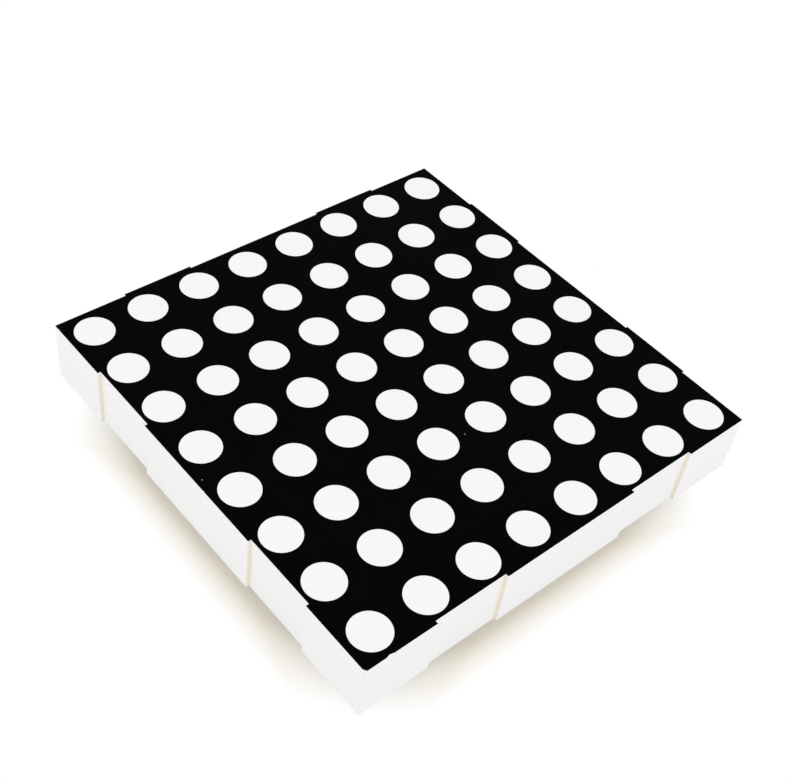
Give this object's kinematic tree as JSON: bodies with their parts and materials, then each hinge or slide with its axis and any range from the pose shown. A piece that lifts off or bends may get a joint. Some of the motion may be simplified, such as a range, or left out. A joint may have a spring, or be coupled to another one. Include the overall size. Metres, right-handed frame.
{
  "type": "led dot matrix",
  "caption": "Square display module: white moulded body, black printed face with a grid of round milky dots, side tabs and recesses for tiling, and two rows of pins behind.",
  "frame": {"origin": "centre of the pin grid on the seating plane, the plane of the body's rear rim", "axes": "+Z out of the printed face, +X along the two rows of pins, +Y from the first row of pins to the second; tabs on the +X and +Y sides"},
  "size_m": [0.0605, 0.0605, 0.012],
  "materials": {
    "white_plastic": "smooth moulded, faint satin sheen",
    "black_print": "screen-printed ink, matt",
    "milky_resin": "cast resin with white diffuser, semi-gloss",
    "green_board": "solder mask over glass epoxy",
    "plated_copper": "gold-plated copper",
    "masked_copper": "copper under solder mask",
    "via_copper": "copper",
    "solder": "bright solder",
    "clear_resin": "clear cast resin, pale amber",
    "tinned_pin": "tinned wire",
    "led_chip": "semiconductor die",
    "gold_wire": "drawn gold"
  },
  "bodies": {
    "root": {"housing": "white_plastic", "face_print": "black_print", "diffuser_resin": "milky_resin", "circuit_board": "green_board", "chip_side_copper": "plated_copper", "back_copper": "masked_copper", "vias": "via_copper", "solder_joints": "solder", "back_sealing": "clear_resin", "pin_1": "tinned_pin", "pin_2": "tinned_pin", "pin_3": "tinned_pin", "pin_4": "tinned_pin", "pin_5": "tinned_pin", "pin_6": "tinned_pin", "pin_7": "tinned_pin", "pin_8": "tinned_pin", "pin_9": "tinned_pin", "pin_10": "tinned_pin", "pin_11": "tinned_pin", "pin_12": "tinned_pin", "pin_13": "tinned_pin", "pin_14": "tinned_pin", "pin_15": "tinned_pin", "pin_16": "tinned_pin", "chip_row_1": "led_chip", "chip_row_2": "led_chip", "chip_row_3": "led_chip", "chip_row_4": "led_chip", "chip_row_5": "led_chip", "chip_row_6": "led_chip", "chip_row_7": "led_chip", "chip_row_8": "led_chip", "bond_wire_row_1": "gold_wire", "bond_wire_row_2": "gold_wire", "bond_wire_row_3": "gold_wire", "bond_wire_row_4": "gold_wire", "bond_wire_row_5": "gold_wire", "bond_wire_row_6": "gold_wire", "bond_wire_row_7": "gold_wire", "bond_wire_row_8": "gold_wire"}
  },
  "joints": []
}
